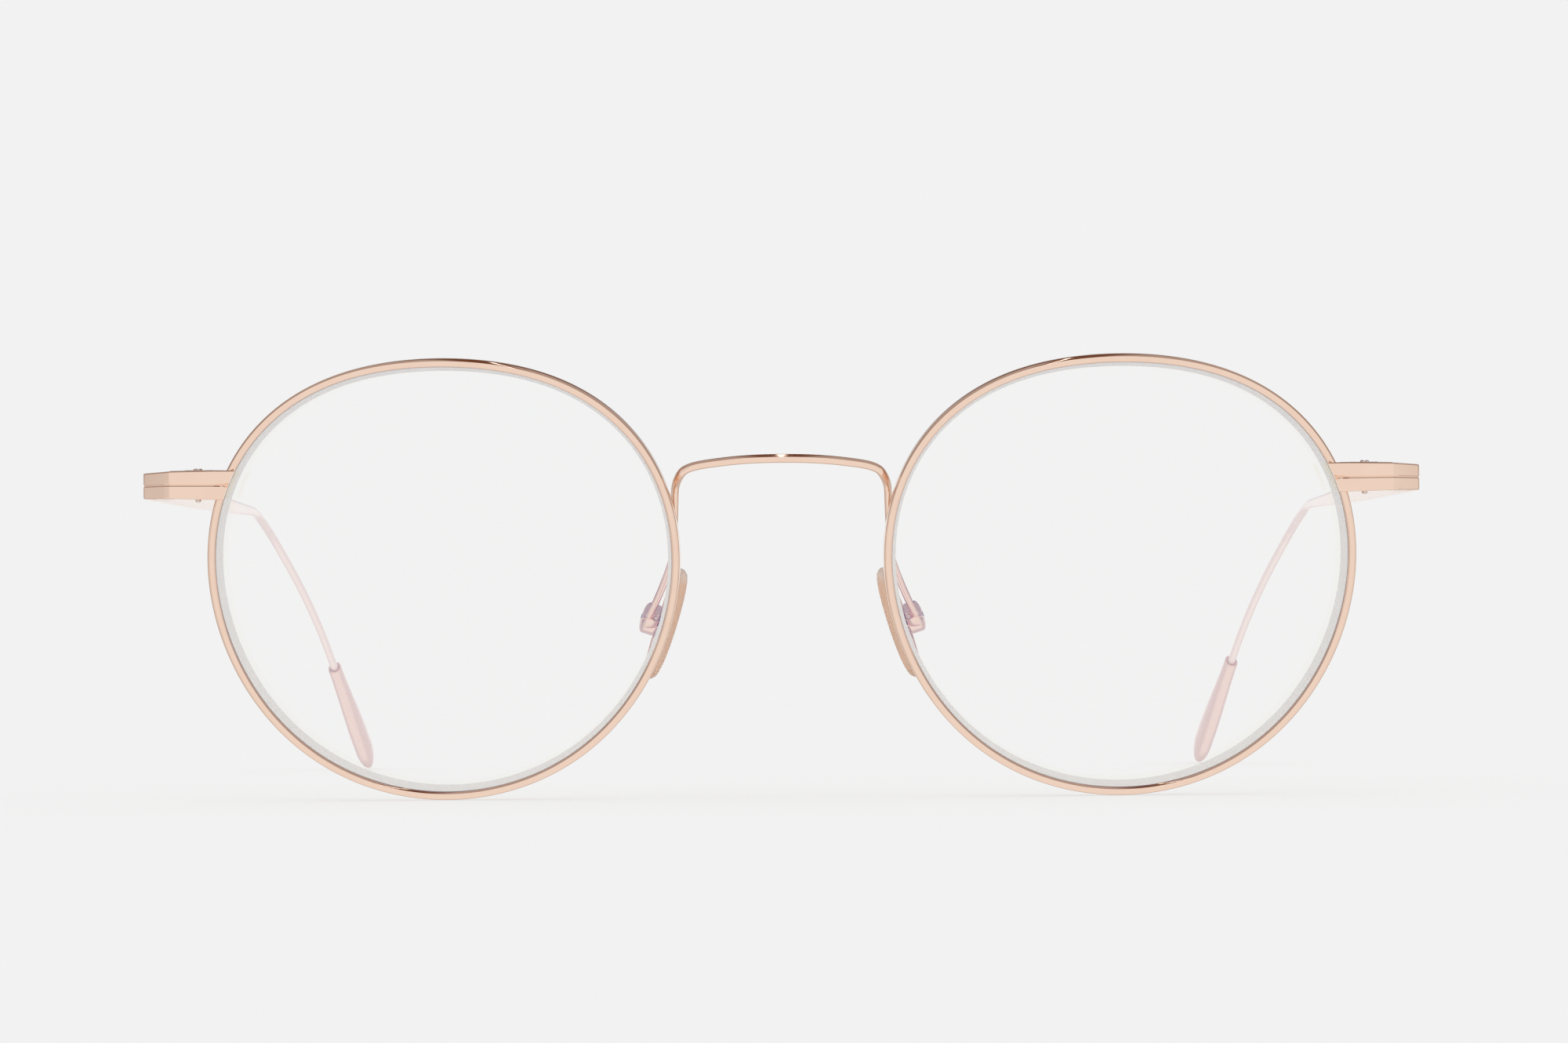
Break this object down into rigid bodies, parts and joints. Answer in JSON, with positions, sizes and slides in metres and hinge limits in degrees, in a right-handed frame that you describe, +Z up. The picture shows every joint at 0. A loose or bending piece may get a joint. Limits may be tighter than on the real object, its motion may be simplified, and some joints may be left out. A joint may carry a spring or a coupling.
{
  "type": "eyeglasses",
  "caption": "Full-rim round eyeglasses in polished rose-gold metal with clear lenses, a wire bridge, adjustable nose pads and folding temples with plastic tips, standing open.",
  "frame": {"origin": "on the surface the glasses stand on, midway between the temples and midway along the whole depth", "axes": "+Z up, the lenses face -Y, the temples run to +Y, +X is the right side seen from the front"},
  "size_m": [0.1334, 0.139, 0.0461],
  "materials": {
    "frame_metal": "polished",
    "temple_metal": "polished",
    "pad_metal": "polished",
    "screw_metal": "polished",
    "lens": "polished",
    "pad_clear": "satin",
    "tip_plastic": "gloss"
  },
  "bodies": {
    "front": {"bridge": "frame_metal", "rim_left": "frame_metal", "lens_left": "lens", "end_piece_left": "frame_metal", "lock_block_upper_left": "frame_metal", "lock_block_lower_left": "frame_metal", "lock_screw_left": "screw_metal", "front_hinge_left": "frame_metal", "hinge_screw_left": "screw_metal", "pad_arm_left": "frame_metal", "pad_cup_left": "frame_metal", "pad_screw_left": "screw_metal", "rim_right": "frame_metal", "lens_right": "lens", "end_piece_right": "frame_metal", "lock_block_upper_right": "frame_metal", "lock_block_lower_right": "frame_metal", "lock_screw_right": "screw_metal", "front_hinge_right": "frame_metal", "hinge_screw_right": "screw_metal", "pad_arm_right": "frame_metal", "pad_cup_right": "frame_metal", "pad_screw_right": "screw_metal"},
    "temple_left": {"temple_left": "temple_metal", "temple_hinge_left": "frame_metal", "temple_tip_left": "tip_plastic"},
    "pad_left": {"nose_pad_left": "pad_clear", "pad_core_left": "pad_metal"},
    "temple_right": {"temple_right": "temple_metal", "temple_hinge_right": "frame_metal", "temple_tip_right": "tip_plastic"},
    "pad_right": {"nose_pad_right": "pad_clear", "pad_core_right": "pad_metal"}
  },
  "joints": [
    {"name": "temple_fold_right", "type": "hinge", "parent": "front", "child": "temple_right", "pos_m": [0.0646, -0.05572, 0.0328], "axis": [0, 0, 1], "range_deg": [0, 86]},
    {"name": "temple_fold_left", "type": "hinge", "parent": "front", "child": "temple_left", "pos_m": [-0.0646, -0.05572, 0.0328], "axis": [0, 0, -1], "range_deg": [0, 81]},
    {"name": "pad_rock_right", "type": "hinge", "parent": "front", "child": "pad_right", "pos_m": [0.0135, -0.05952, 0.0186], "axis": [0.1897, 0.9749, -0.1168], "range_deg": [-9, 9]},
    {"name": "pad_rock_left", "type": "hinge", "parent": "front", "child": "pad_left", "pos_m": [-0.0135, -0.05952, 0.0186], "axis": [-0.1897, 0.9749, -0.1168], "range_deg": [-9, 9]}
  ]
}
